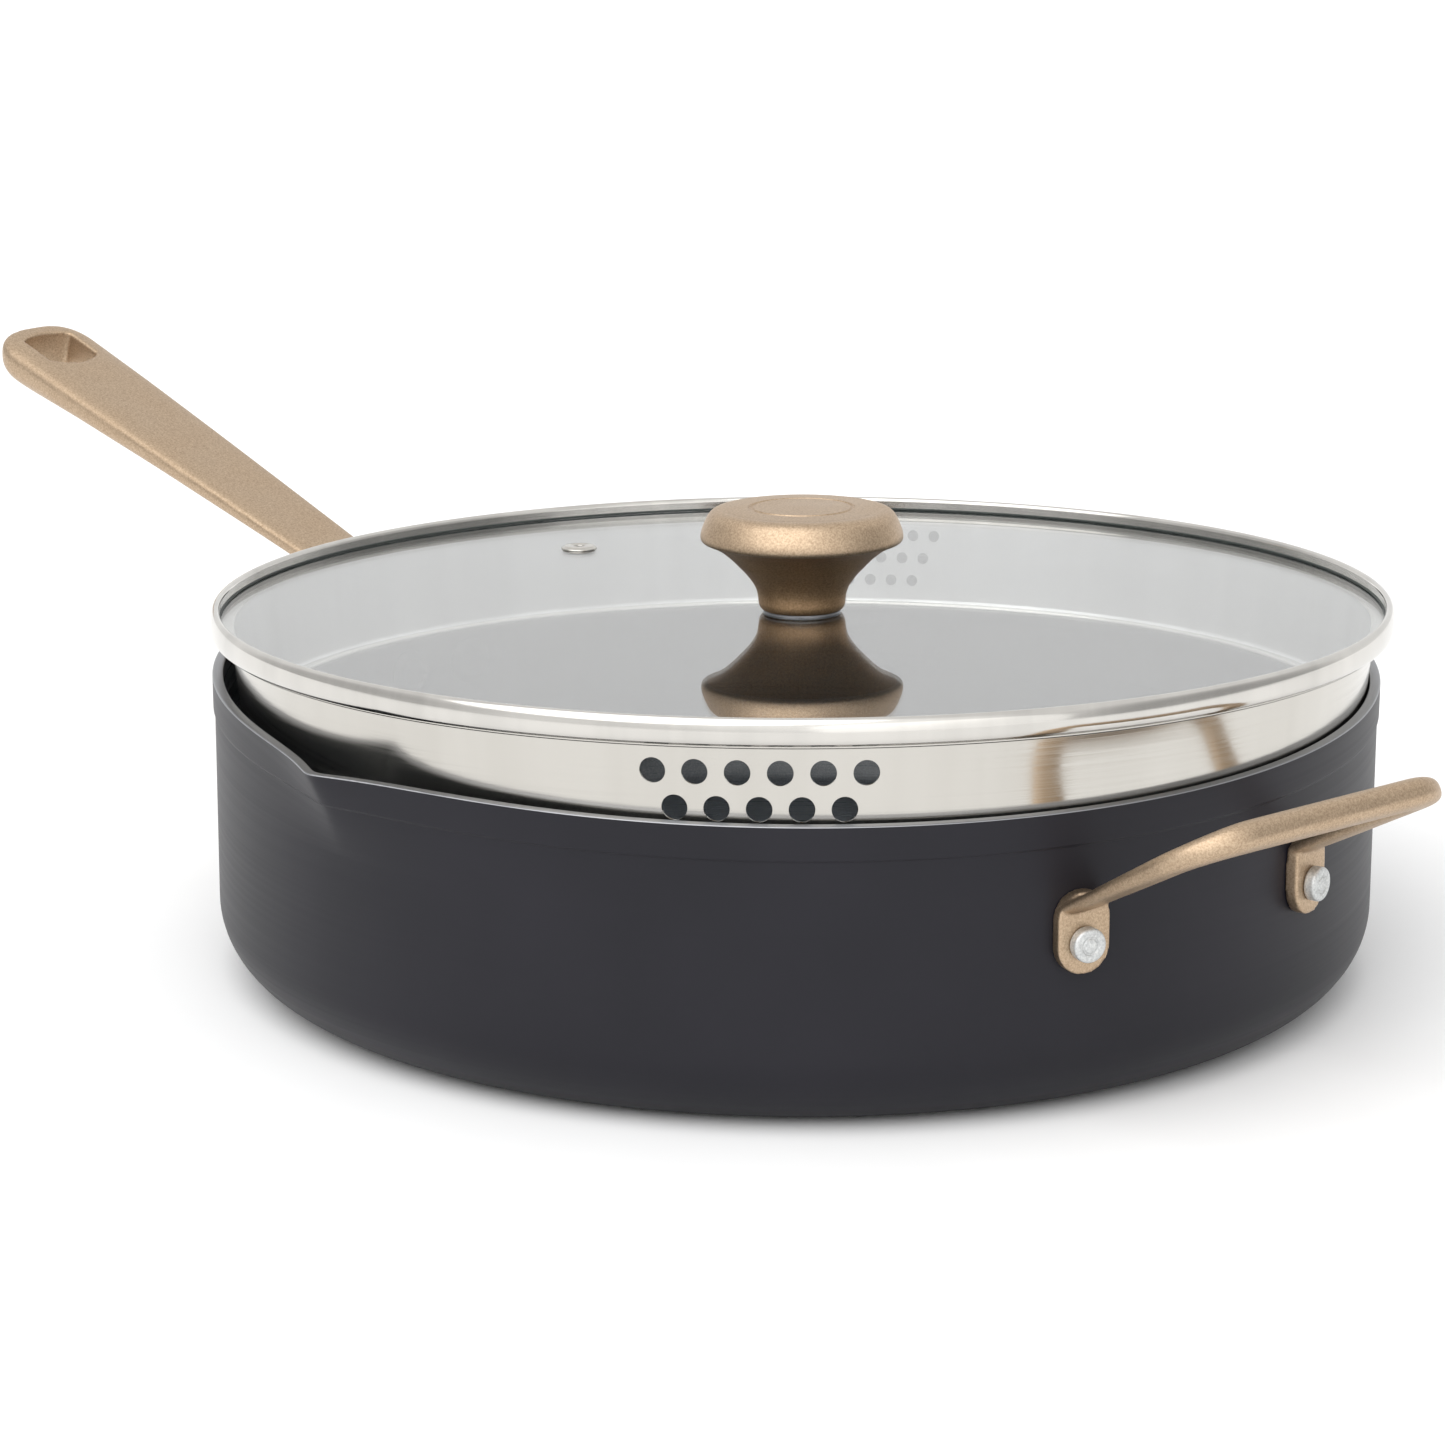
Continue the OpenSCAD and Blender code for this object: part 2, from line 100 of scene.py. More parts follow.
def rounded(points, radius, steps=4):
    """A closed outline with its corners rounded."""
    p = [np.array(q, float) for q in points]
    out = []
    for i, here in enumerate(p):
        before, after = p[i - 1], p[(i + 1) % len(p)]
        la, lb = np.linalg.norm(before - here), np.linalg.norm(after - here)
        ua, ub = (before - here) / la, (after - here) / lb
        bend = math.pi - math.acos(max(-1, min(1, float(ua @ ub))))
        if bend < math.radians(12) or here[0] < 1e-6:
            out.append(here)
            continue
        t = min(radius * math.tan(bend / 2), 0.45 * la, 0.45 * lb)
        a, b = here + ua * t, here + ub * t
        for k in range(steps + 1):
            s = k / steps
            out.append((1 - s) ** 2 * a + 2 * s * (1 - s) * here + s * s * b)
    return [tuple(q) for q in out]


def eased_curve(points, steps=6):
    """A smooth line through the points (Catmull-Rom)."""
    p = [np.array(q, float) for q in [points[0], *points, points[-1]]]
    out = []
    for i in range(1, len(p) - 2):
        for k in range(steps):
            t = k / steps
            out.append(0.5 * (2 * p[i] + (p[i + 1] - p[i - 1]) * t
                              + (2 * p[i - 1] - 5 * p[i] + 4 * p[i + 1] - p[i + 2]) * t * t
                              + (3 * p[i] - p[i - 1] - 3 * p[i + 1] + p[i + 2]) * t ** 3))
    return [tuple(q) for q in [*out, p[-1]]]


def arc(cx, cy, r, a0, a1, step=6):
    n = max(2, math.ceil(abs(a1 - a0) / step))
    return [
        (cx + r * math.cos(math.radians(a0 + (a1 - a0) * i / n)),
         cy + r * math.sin(math.radians(a0 + (a1 - a0) * i / n)))
        for i in range(n + 1)
    ]


def supported(profile, near=0.25):
    """The outline with extra points near the ends of its long sides.

    They keep flat sides flat when shaded smooth.
    """
    out = []
    for i, (r, z) in enumerate(profile):
        out.append((r, z))
        r2, z2 = profile[(i + 1) % len(profile)]
        length = math.hypot(r2 - r, z2 - z)
        if length > 4 * near:
            for share in (near / length, 1 - near / length):
                out.append((r + (r2 - r) * share, z + (z2 - z) * share))
    return out


def revolve(name, profile, segments=256, place=LID, sharp=35):
    """A solid turned from a closed outline of (radius, height)."""
    profile = supported(profile)
    n = len(profile)
    verts, faces = [], []
    for s in range(segments):
        a = 2 * math.pi * s / segments
        verts += [(r * math.cos(a), r * math.sin(a), z) for r, z in profile]
    for s in range(segments):
        for i in range(n):
            j = (i + 1) % n
            if profile[i][0] < 1e-6 and profile[j][0] < 1e-6:
                continue
            t = (s + 1) % segments
            quad = [s * n + i, s * n + j, t * n + j, t * n + i]
            if profile[i][0] < 1e-6:
                quad = quad[:3]
            elif profile[j][0] < 1e-6:
                quad = [quad[0], quad[1], quad[3]]
            faces.append(quad)
    return smooth(make_object(name, verts, faces, place), sharp)


def skin(rings):
    """Points and faces of a solid through rings of equal length."""
    n = len(rings[0])
    verts = [p for ring in rings for p in ring]
    faces = [list(range(n)), list(range(len(verts) - n, len(verts)))[::-1]]
    for j in range(len(rings) - 1):
        for i in range(n):
            a, b = j * n + i, j * n + (i + 1) % n
            faces.append([a, a + n, b + n, b])
    return verts, faces


def apply_modifiers(obj):
    bpy.context.view_layer.update()
    done = bpy.data.meshes.new_from_object(obj.evaluated_get(bpy.context.evaluated_depsgraph_get()))
    obj.modifiers.clear()
    obj.data = done


def cut(obj, tool):
    """Takes the tool's shape out of the object, and removes the tool."""
    m = obj.modifiers.new("cut", "BOOLEAN")
    m.object, m.operation, m.solver = tool, "DIFFERENCE", "EXACT"
    apply_modifiers(obj)
    bpy.data.objects.remove(tool)


def joined(name, parts):
    """One object with the meshes of all the parts."""
    base = parts[0]
    bm = bmesh.new()
    for part in parts:
        bm.from_mesh(part.data)
    bm.to_mesh(base.data)
    bm.free()
    for part in parts[1:]:
        bpy.data.objects.remove(part)
    base.name = name
    return base


def cast(name, parts, voxel, rounds):
    """Several overlapping closed solids made into one cast piece with soft inner corners."""
    base = joined(name, parts)
    m = base.modifiers.new("remesh", "REMESH")
    m.mode, m.voxel_size = "VOXEL", voxel * MM
    m = base.modifiers.new("smooth", "SMOOTH")
    m.factor, m.iterations = 0.5, rounds
    apply_modifiers(base)
    base.data.shade_smooth()
    return base


def signed_power(value, power):
    """The value's size raised to a power, with its sign kept, for sections with rounded corners."""
    return math.copysign(abs(value) ** power, value)


def eased(table, d, half=7.0):
    """Value of a table of (d, value) at d, averaged over a short stretch so that it has no corners."""
    x, y = zip(*table)
    return float(np.mean([np.interp(d + s, x, y) for s in np.linspace(-half, half, 9)]))


def rounded_box(w, h, r):
    x, y = w / 2 - r, h / 2 - r
    corners = ((x, y, 0), (-x, y, 90), (-x, -y, 180), (x, -y, 270))
    return [point for cx, cy, start in corners for point in arc(cx, cy, r, start, start + 90, 9)]


# ---------------------------------------------------------------- materials
class Nodes:
    """A short way to write a Principled material from nodes."""

    def __init__(self, name, **fixed):
        self.mat = bpy.data.materials.new(name)
        self.mat.use_nodes = True
        self.tree = self.mat.node_tree
        self.shader = self.tree.nodes["Principled BSDF"]
        for key, value in fixed.items():
            self.shader.inputs[key.replace("_", " ")].default_value = value
        self.place = self.node("ShaderNodeTexCoord").outputs["Object"]

    def node(self, kind, **values):
        n = self.tree.nodes.new(kind)
        for key, value in values.items():
            if hasattr(n, key):
                setattr(n, key, value)
            else:
                n.inputs[key.replace("_", " ")].default_value = value
        return n

    def link(self, a, b):
        self.tree.links.new(a, b)

    def polar(self, radial, around, up):
        """Coordinates (radius, angle, height), each scaled, so that streaks follow a turned surface."""
        sep = self.node("ShaderNodeSeparateXYZ")
        self.link(self.place, sep.inputs[0])
        flat = self.node("ShaderNodeCombineXYZ")
        self.link(sep.outputs[0], flat.inputs[0])
        self.link(sep.outputs[1], flat.inputs[1])
        length = self.node("ShaderNodeVectorMath", operation="LENGTH")
        self.link(flat.outputs[0], length.inputs[0])
        unit = self.node("ShaderNodeVectorMath", operation="NORMALIZE")
        self.link(flat.outputs[0], unit.inputs[0])
        spread = self.node("ShaderNodeVectorMath", operation="SCALE")
        spread.inputs["Scale"].default_value = around
        self.link(unit.outputs[0], spread.inputs[0])
        rise = self.node("ShaderNodeMath", operation="MULTIPLY")
        rise.inputs[1].default_value = up
        self.link(sep.outputs[2], rise.inputs[0])
        out = self.node("ShaderNodeMath", operation="MULTIPLY_ADD")
        out.inputs[1].default_value = radial
        self.link(length.outputs["Value"], out.inputs[0])
        self.link(rise.outputs[0], out.inputs[2])
        lift = self.node("ShaderNodeCombineXYZ")
        self.link(out.outputs[0], lift.inputs[2])
        total = self.node("ShaderNodeVectorMath", operation="ADD")
        self.link(spread.outputs[0], total.inputs[0])
        self.link(lift.outputs[0], total.inputs[1])
        return total.outputs[0]

    def noise(self, vector, scale, detail=3.0, rough=0.5):
        n = self.node("ShaderNodeTexNoise", Scale=scale, Detail=detail, Roughness=rough)
        self.link(vector, n.inputs["Vector"])
        return n.outputs["Fac"]

    def colours(self, fac, *stops):
        """stops: (position, colour)"""
        ramp = self.node("ShaderNodeValToRGB")
        for element, (position, colour) in zip(ramp.color_ramp.elements, (stops[0], stops[-1])):
            element.position, element.color = position, (*colour, 1)
        for position, colour in stops[1:-1]:
            ramp.color_ramp.elements.new(position).color = (*colour, 1)
        self.link(fac, ramp.inputs["Fac"])
        self.link(ramp.outputs["Color"], self.shader.inputs["Base Color"])

    def roughness(self, fac, low, high):
        """Roughness from low to high as the noise goes over the middle of its range."""
        m = self.node("ShaderNodeMapRange")
        for key, value in (("From Min", 0.3), ("From Max", 0.7), ("To Min", low), ("To Max", high)):
            m.inputs[key].default_value = value
        self.link(fac, m.inputs["Value"])
        self.link(m.outputs["Result"], self.shader.inputs["Roughness"])

    def bump(self, *layers):
        """layers: (height, strength, distance in mm)"""
        last = None
        for height, strength, distance in layers:
            b = self.node("ShaderNodeBump", Strength=strength, Distance=distance * MM)
            self.link(height, b.inputs["Height"])
            if last is not None:
                self.link(last, b.inputs["Normal"])
            last = b.outputs["Normal"]
        self.link(last, self.shader.inputs["Normal"])


def anodised():
    m = Nodes("anodised_body", Metallic=0.0, Specular_IOR_Level=0.20)
    turned = m.noise(m.polar(900, 0.6, 900), 1.0, 3)
    speckle = m.noise(m.place, 2600, 2)
    cloud = m.noise(m.place, 14, 3)
    m.colours(cloud, (0.3, (0.0120, 0.0120, 0.0155)), (0.7, (0.0165, 0.0158, 0.0210)))
    m.roughness(turned, 0.41, 0.45)
    m.bump((turned, 0.025, 0.03), (speckle, 0.10, 0.03))
    return m.mat


def nonstick():
    m = Nodes("pan_inside", Metallic=0.0, Specular_IOR_Level=0.5)
    rings = m.noise(m.polar(1500, 0.5, 1500), 1.0, 2)
    fleck = m.noise(m.place, 3200, 2)
    m.colours(fleck, (0.4, (0.045, 0.050, 0.056)), (0.72, (0.11, 0.12, 0.135)))
    m.roughness(rings, 0.26, 0.34)
    m.bump((rings, 0.06, 0.05), (fleck, 0.08, 0.03))
    return m.mat


def bare_rim():
    m = Nodes("bare_rim", Metallic=1.0)
    lines = m.noise(m.polar(2500, 2.0, 2500), 1.0, 2)
    m.colours(lines, (0.3, (0.27, 0.275, 0.29)), (0.7, (0.38, 0.385, 0.40)))
    m.roughness(lines, 0.30, 0.42)
    m.bump((lines, 0.08, 0.03))
    return m.mat


def gold(name, dark, light):
    m = Nodes(name, Metallic=1.0)
    grain = m.noise(m.place, 1900, 2, 0.7)
    fine = m.noise(m.place, 5200, 1)
    wear = m.noise(m.place, 60, 3)
    middle = tuple((a + b) / 2 for a, b in zip(dark, light))
    m.colours(grain, (0.32, dark), (0.5, middle), (0.7, light))
    m.roughness(wear, 0.40, 0.50)
    m.bump((grain, 0.14, 0.08), (fine, 0.10, 0.04))
    return m.mat


def polished(name, light, streak, rough):
    m = Nodes(name, Metallic=1.0)
    streaks = m.noise(m.polar(0, 7.0, 3), 1.0, 4, 0.6)
    hair = m.noise(m.polar(30, 3.0, 2600), 1.0, 2)
    m.colours(streaks, (0.30, streak), (0.62, light))
    m.roughness(hair, rough, rough * 2.2)
    m.bump((hair, 0.025, 0.02))
    return m.mat


def cast_aluminium():
    m = Nodes("rivet_aluminium", Metallic=0.75)
    grain = m.noise(m.place, 1500, 3, 0.7)
    spots = m.noise(m.place, 420, 3)
    m.colours(grain, (0.3, (0.44, 0.45, 0.45)), (0.7, (0.74, 0.75, 0.74)))
    m.roughness(spots, 0.42, 0.62)
    m.bump((grain, 0.35, 0.12), (spots, 0.25, 0.15))
    return m.mat


def clear_glass():
    m = Nodes("lid_glass", Base_Color=(0.975, 0.99, 0.985, 1), IOR=1.5, Transmission_Weight=1.0)
    ripple = m.noise(m.place, 9, 2)
    m.roughness(ripple, 0.0, 0.012)
    m.bump((ripple, 0.02, 0.4))
    return m.mat


def silicone():
    m = Nodes("grey_silicone", Metallic=0.0, Specular_IOR_Level=0.4)
    grain = m.noise(m.place, 2200, 2)
    m.colours(grain, (0.3, (0.030, 0.036, 0.034)), (0.7, (0.052, 0.062, 0.058)))
    m.roughness(grain, 0.5, 0.62)
    m.bump((grain, 0.15, 0.05))
    return m.mat


def brass():
    m = Nodes("insert_brass", Metallic=1.0)
    lines = m.noise(m.polar(2000, 2.0, 2000), 1.0, 2)
    m.colours(lines, (0.3, (0.55, 0.38, 0.15)), (0.7, (0.78, 0.58, 0.28)))
    m.roughness(lines, 0.22, 0.34)
    m.bump((lines, 0.08, 0.04))
    return m.mat


ANODISED, INSIDE, BARE = anodised(), nonstick(), bare_rim()
GOLD = gold("gold_finish", (0.375, 0.27, 0.18), (0.585, 0.45, 0.315))
# the stem's gold is darker and browner than the cap's: partly its own browner tone, partly painted shade,
# with the shade under the cap and the dark pan it reflects painted into its colour
SHADED_GOLD_STEM = gold("gold_stem_with_painted_shade", (0.34, 0.215, 0.115), (0.54, 0.36, 0.21))
STEEL = polished("polished_steel", (0.575, 0.555, 0.515), (0.535, 0.515, 0.475), 0.11)
ROLL_STEEL = polished("rolled_steel", (0.64, 0.62, 0.585), (0.54, 0.525, 0.495), 0.08)
BRUSHED = polished("brushed_steel", (0.93, 0.93, 0.92), (0.80, 0.80, 0.79), 0.30)
CAST, GLASS, SILICONE, BRASS = cast_aluminium(), clear_glass(), silicone(), brass()


def finish_piece(obj, body, slot, nodes, *materials):
    obj.data.materials.clear()
    for m in materials:
        obj.data.materials.append(m)
    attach(obj, body)
    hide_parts(*nodes)


def paint(obj, indices):
    """Gives each face of the object its material, by the material's place in the object's list."""
    for polygon, index in zip(obj.data.polygons, indices):
        polygon.material_index = index


# ---------------------------------------------------------------- the pan
def wall_out(z):
    """Outer radius of the wall at height z, without the spouts."""
    lip_flare, step_height = 0.15, 0.9
    share = min(1.0, max(0.0, (z - STEP_Z) / step_height + 0.5))
    soft = share * share * (3 - 2 * share)
    up_wall = min(1.0, max(0.0, (z - CORNER_R) / (STEP_Z - CORNER_R)))
    below = BASE_WALL_R + (WALL_R - BASE_WALL_R) * up_wall
    flare = lip_flare * max(0.0, (z - STEP_Z) / (PAN_H - STEP_Z))
    return below + (RIM_R - lip_flare - below) * soft + flare


def spout_bulge(angle, z):
    """How far a spout stands out of the wall, at an angle from the spout's middle."""
    crease = 0.8
    depth = max(0.0, (z - PAN_H + SPOUT_DROP) / SPOUT_DROP)
    return SPOUT_REACH * depth ** 1.3 * math.exp((crease - math.hypot(angle, crease)) / SPOUT_FADE)


def pan_rows():
    """The pan's section from the middle of its base round to the middle of its floor.

    Each row is (radius, height, material): 0 outside, 1 inside, 2 the bare edge.
    """
    edge = 0.45
    flat_radii = (20, 60, 100, 125)
    rows = [(r, 0.0, 0) for r in flat_radii]
    rows += [(r, z, 0) for r, z in arc(BASE_WALL_R - CORNER_R, CORNER_R, CORNER_R, -90, 0, 4)]
    # heights on the wall, close together at the step
    levels = [*np.arange(24, 56, 4.0), *np.arange(57, STEP_Z - 1, 1.0),
              *np.arange(STEP_Z - 1, STEP_Z + 1.01, 0.1), *np.arange(STEP_Z + 1.6, PAN_H - edge - 0.3, 0.8)]
    rows += [(wall_out(z), z, 0) for z in levels]
    rows.append((RIM_R - 0.01, PAN_H - edge - 0.05, 0))
    bare_from = PAN_H - 0.3
    rows += [(r, z, 0 if z < bare_from else 2) for r, z in arc(RIM_R - edge, PAN_H - edge, edge, 0, 90, 18)]
    rows += [(r, z, 2) for r, z in arc(RIM_R - WALL_T + edge, PAN_H - edge, edge, 90, 180, 18)]
    rows += [(wall_out(z) - WALL_T, z, 1) for z in levels[::-1] if z < PAN_H - edge - 0.3]
    corner = CORNER_R - WALL_T
    rows += [(r, z, 1) for r, z in arc(BASE_WALL_R - WALL_T - corner, FLOOR_T + corner, corner, 0, -90, 4)]
    return rows + [(r, FLOOR_T, 1) for r in flat_radii[::-1]]


def pan_angles():
    """Angles round the pan in degrees, close together at the two spouts."""
    angles, a = [], -180.0
    while a < 180 - 1e-6:
        angles.append(a)
        a += 0.4 if abs(abs(a) - 90) < 14 else 1.0
    return angles


def make_pan():
    rows, angles = pan_rows(), pan_angles()
    rings = []
    for r, z, _ in rows:
        ring = []
        for a in angles:
            rr = r + (spout_bulge(abs(abs(a) - 90), z) if r > 140 else 0.0)
            ring.append((rr * math.cos(math.radians(a)), rr * math.sin(math.radians(a)), z))
        rings.append(ring)
    verts, faces = skin(rings)
    mesh = bpy.data.meshes.new("pan_shell")
    mesh.from_pydata([tuple(c * MM for c in v) for v in verts], [], faces)
    obj = bpy.data.objects.new("pan_shell", mesh)
    scene.collection.objects.link(obj)
    # the two flat ends, then one band of faces between each row and the next
    paint(obj, [0, 1] + [kind for _, _, kind in rows[1:] for _ in angles])
    bm = bmesh.new()
    bm.from_mesh(mesh)
    bmesh.ops.recalc_face_normals(bm, faces=bm.faces)
    bm.to_mesh(mesh)
    bm.free()
    kinds = [p.material_index for p in mesh.polygons]
    smooth(obj, 50)
    finish_piece(obj, "pan", "anodised_body", ["pan_body"], ANODISED, INSIDE, BARE)
    paint(obj, kinds)


# ---------------------------------------------------------------- the handles and their rivets
def foot_plate(angle, mid_z, w, h, r, thick):
    """A plate that follows the pan's wall."""
    outline = rounded_box(w, h, r)
    rings = []
    grow = np.linspace(0.1, 1, 6)
    for radius, shares in ((FOOT_BACK_R, grow), (FOOT_BACK_R + thick, grow[::-1])):
        for share in shares:
            ring = []
            for y, z in outline:
                y, z = y * share, z * share
                turn = math.asin(y / radius) + math.radians(angle)
                ring.append((radius * math.cos(turn), radius * math.sin(turn), mid_z + z))
            rings.append(ring)
    return make_object("plate", *skin(rings))


def handle_ring(d, squeeze):
    """The stick handle's section at a distance d from the rim; squeeze falls from 1 to 0 over its tip."""
    half_w = eased(HANDLE_HALF_W, d) * (0.15 + 0.85 * squeeze)
    depth = eased(HANDLE_DEPTH, d) * (0.35 + 0.65 * squeeze)
    top, low = 0.45 * depth, 0.55 * depth
    top_power, low_power = 2 / 3.6, 0.9
    z0 = HANDLE_ROOT_Z + HANDLE_SLOPE * d - top - 1.2 * (1 - squeeze)
    ring = []
    for i in range(64):
        a = 2 * math.pi * i / 64
        height, power = (top, top_power) if math.sin(a) > 0 else (low, low_power)
        y = half_w * signed_power(math.cos(a), power)
        z = height * signed_power(math.sin(a), power)
        ring.append((-RIM_R - d, -y, z0 + z))
    return ring


def hanging_hole():
    """A tool for the hanging hole, which has straight sides and bowed ends."""
    half_w, side, pan_bulge, tip_bulge = 8.4, 14.0, 4.0, 2.0
    pan_r = (half_w ** 2 + pan_bulge ** 2) / (2 * pan_bulge)
    tip_r = (half_w ** 2 + tip_bulge ** 2) / (2 * tip_bulge)
    pa, ta = (math.degrees(math.asin(half_w / r)) for r in (pan_r, tip_r))
    outline = (arc(side / 2 + pan_bulge - pan_r, 0, pan_r, -pa, pa, 4)
               + arc(tip_r - side / 2 - tip_bulge, 0, tip_r, 180 - ta, 180 + ta, 4))
    hole_d = HANDLE_REACH - HOLE_FROM_TIP
    place = (Matrix.Translation(Vector((-RIM_R - hole_d, 0, HANDLE_ROOT_Z + HANDLE_SLOPE * hole_d)) * MM)
             @ Matrix.Rotation(math.atan(HANDLE_SLOPE), 4, "Y"))
    return make_object("tool", *skin([[(x, y, z) for x, y in outline] for z in (-30, 30)]), place)


def make_long_handle():
    tip_from = HANDLE_REACH - HANDLE_TIP_LEN
    rings = [handle_ring(d, 1.0) for d in np.arange(-1, tip_from, 2.0)]
    for a in np.radians(np.linspace(0, 84, 22)):
        rings.append(handle_ring(tip_from + HANDLE_TIP_LEN * math.sin(a), math.sqrt(math.cos(a))))
    grip = make_object("grip", *skin(rings))
    cut(grip, hanging_hole())
    plate = foot_plate(180, RIVET_Z + 2, 42, 34, 9, FOOT_T)
    obj = cast("stick_handle", [grip, plate], 0.55, 5)
    finish_piece(obj, "pan", "gold_finish", ["long_handle"], GOLD)


def make_helper():
    root_x = FOOT_BACK_R * math.cos(math.radians(FOOT_ANGLE)) + FOOT_T / 2
    root_y = FOOT_BACK_R * math.sin(math.radians(FOOT_ANGLE))
    root_z = RIVET_Z + 9.5
    corner_x, corner_y = GRIP_X - LOOP_CORNER_R, LOOP_HALF_SPAN - LOOP_CORNER_R
    # half of the middle line seen from above: a straight leg, a corner and half of the bar
    half = [(root_x + (corner_x - root_x) * t, root_y + (LOOP_HALF_SPAN - root_y) * t)
            for t in np.linspace(0, 1, 24)]
    half += arc(corner_x, corner_y, LOOP_CORNER_R, 90, 0, 4)[1:]
    half += [(GRIP_X, corner_y * t) for t in np.linspace(1, 0, 18)[1:-1]]
    line = [(x, -y) for x, y in half] + [(GRIP_X, 0.0)] + half[::-1]
    rise = math.atan2(GRIP_Z - root_z, GRIP_X - root_x)
    root_half_w, grip_half_w, grip_extra_t = 7.2, 5.2, 2.1
    rings = []
    for i, (x, y) in enumerate(line):
        a, b = line[max(0, i - 1)], line[min(len(line) - 1, i + 1)]
        length = math.hypot(b[0] - a[0], b[1] - a[1])
        nx, ny = (b[1] - a[1]) / length, -(b[0] - a[0]) / length
        share = max(0.0, (x - root_x) / (GRIP_X - root_x))
        half_w = root_half_w - (root_half_w - grip_half_w) * share
        half_t = FOOT_T / 2 + grip_extra_t * share ** 0.8
        lean = rise * nx
        ring = []
        for k in range(32):
            q = -2 * math.pi * k / 32
            u, v = half_w * signed_power(math.cos(q), 0.7), half_t * signed_power(math.sin(q), 0.7)
            s = u * math.cos(lean) - v * math.sin(lean)
            z = u * math.sin(lean) + v * math.cos(lean)
            ring.append((x + nx * s, y + ny * s, root_z + (GRIP_Z - root_z) * share + z))
        rings.append(ring)
    loop = make_object("loop", *skin(rings))
    feet = [foot_plate(side * FOOT_ANGLE, RIVET_Z + 2.6, 14.6, 21.6, 7.2, FOOT_T) for side in (-1, 1)]
    obj = cast("helper_loop", [loop, *feet], 0.5, 4)
    finish_piece(obj, "pan", "gold_finish", ["helper_handle"], GOLD)


def make_rivets():
    inner, outer = wall_out(RIVET_Z) - WALL_T, FOOT_BACK_R + FOOT_T
    shank_r, inner_head_r, head_r, groove_r = 3.0, 6.5, 4.5, 2.5
    head = outer + 3.2
    profile = rounded([
        (0, inner - 1.7), (4.3, inner - 1.7), (inner_head_r, inner - 0.65), (inner_head_r, inner - 0.4),
        (shank_r, inner - 0.4), (shank_r, outer), (head_r, outer), (head_r, head), (groove_r, head),
        (groove_r - 0.2, head - 0.3), (groove_r - 0.6, head - 0.3), (groove_r - 0.8, head),
        (0, head + 0.05)], 0.9, 5)
    parts = []
    for angle in (-FOOT_ANGLE, FOOT_ANGLE, 180 - LONG_RIVET_ANGLE, 180 + LONG_RIVET_ANGLE):
        place = (Matrix.Rotation(math.radians(angle), 4, "Z") @ Matrix.Translation((0, 0, RIVET_Z * MM))
                 @ Matrix.Rotation(math.radians(90), 4, "Y"))
        part = revolve("rivet", profile, 64, Matrix.Identity(4), 40)
        part.data.transform(place)
        parts.append(part)
    obj = smooth(joined("rivet_set", parts), 40)
    # the heads inside the pan carry its coating
    coated = [int(p.center.xy.length < (inner + 0.1) * MM) for p in obj.data.polygons]
    finish_piece(obj, "pan", "rivet_aluminium", ["rivets"], CAST, INSIDE)
    paint(obj, coated)


# ---------------------------------------------------------------- the lid
def straining_holes():
    """A tool with a round bar for each hole of the collar."""
    big_pitch, small_pitch = 4.04, 2.33
    rows = ((0, 6, big_pitch, -10.9, BIG_HOLE_R), (0, 5, big_pitch, -20.3, BIG_HOLE_R),
            (180, 10, small_pitch, -8.6, SMALL_HOLE_R), (180, 9, small_pitch, -15.0, SMALL_HOLE_R),
            (180, 8, small_pitch, -21.4, SMALL_HOLE_R))
    sides = 40
    verts, faces = [], []
    for away, count, pitch, z, r in rows:
        for i in range(count):
            turn = math.radians(STRAIN_DIR + away + (i - (count - 1) / 2) * pitch)
            c, s = math.cos(turn), math.sin(turn)
            start = len(verts)
            for x in (COLLAR_R - 8, COLLAR_R + 8):
                for k in range(sides):
                    b = 2 * math.pi * k / sides
                    y, h = r * math.cos(b), z + r * math.sin(b)
                    verts.append((x * c - y * s, x * s + y * c, h))
            faces.append([start + k for k in range(sides)][::-1])
            faces.append([start + sides + k for k in range(sides)])
            for k in range(sides):
                j = (k + 1) % sides
                faces.append([start + k, start + j, start + sides + j, start + sides + k])
    return make_object("tool", verts, faces, LID)


def make_collar():
    flange, bottom, bend, lip, foot = FLANGE_TOP, -COLLAR_DEPTH, 2.2, 144.6, COLLAR_FOOT_R
    lip_roll = 0.9
    profile = [(COLLAR_R - SHEET_T, flange), (COLLAR_R - SHEET_T, flange - 1.2)]
    profile += arc(foot - bend, bottom + bend, bend - SHEET_T, 0, -90, 10)
    profile += [(lip + 0.6, bottom + SHEET_T)]
    profile += arc(lip, bottom + lip_roll, lip_roll, 20, 270, 20)
    profile += arc(foot - bend, bottom + bend, bend, -90, 0, 10)
    profile += [(COLLAR_R, flange - SHEET_T), (LIP_IN + 0.05, flange - SHEET_T),
                (LIP_IN + 0.35, flange - 0.5), (LIP_IN + 0.35, flange)]
    obj = revolve("collar", profile, 360)
    cut(obj, straining_holes())

    # exact normals, so that the mirror finish shows no facets round the holes
    mesh = obj.data
    mesh.shade_smooth()
    slope = (COLLAR_R - foot) / (flange - SHEET_T - bottom - bend)
    normals, inside = [], []
    for polygon in mesh.polygons:
        c = polygon.center
        out = Vector((c.x, c.y, 0)).normalized()
        facing = polygon.normal.dot(out)
        inside.append(int(facing < -0.5 and c.xy.length > (foot - 3) * MM))
        on_wall = ((bottom + bend) * MM <= c.z <= (flange - SHEET_T) * MM
                   and c.xy.length > (foot - 1.5) * MM and abs(facing) > 0.8)
        side = math.copysign(1, facing)
        for loop in polygon.loop_indices:
            p = mesh.vertices[mesh.loops[loop].vertex_index].co
            here = Vector((p.x, p.y, 0)).normalized()
            if on_wall:
                normals.append(((here - Vector((0, 0, slope))) * side).normalized())
            else:
                normals.append((here * facing + polygon.normal - out * facing).normalized())
    mesh.normals_split_custom_set(normals)
    finish_piece(obj, "lid", "polished_steel", ["strainer_collar"], STEEL, BRUSHED)
    paint(obj, inside)


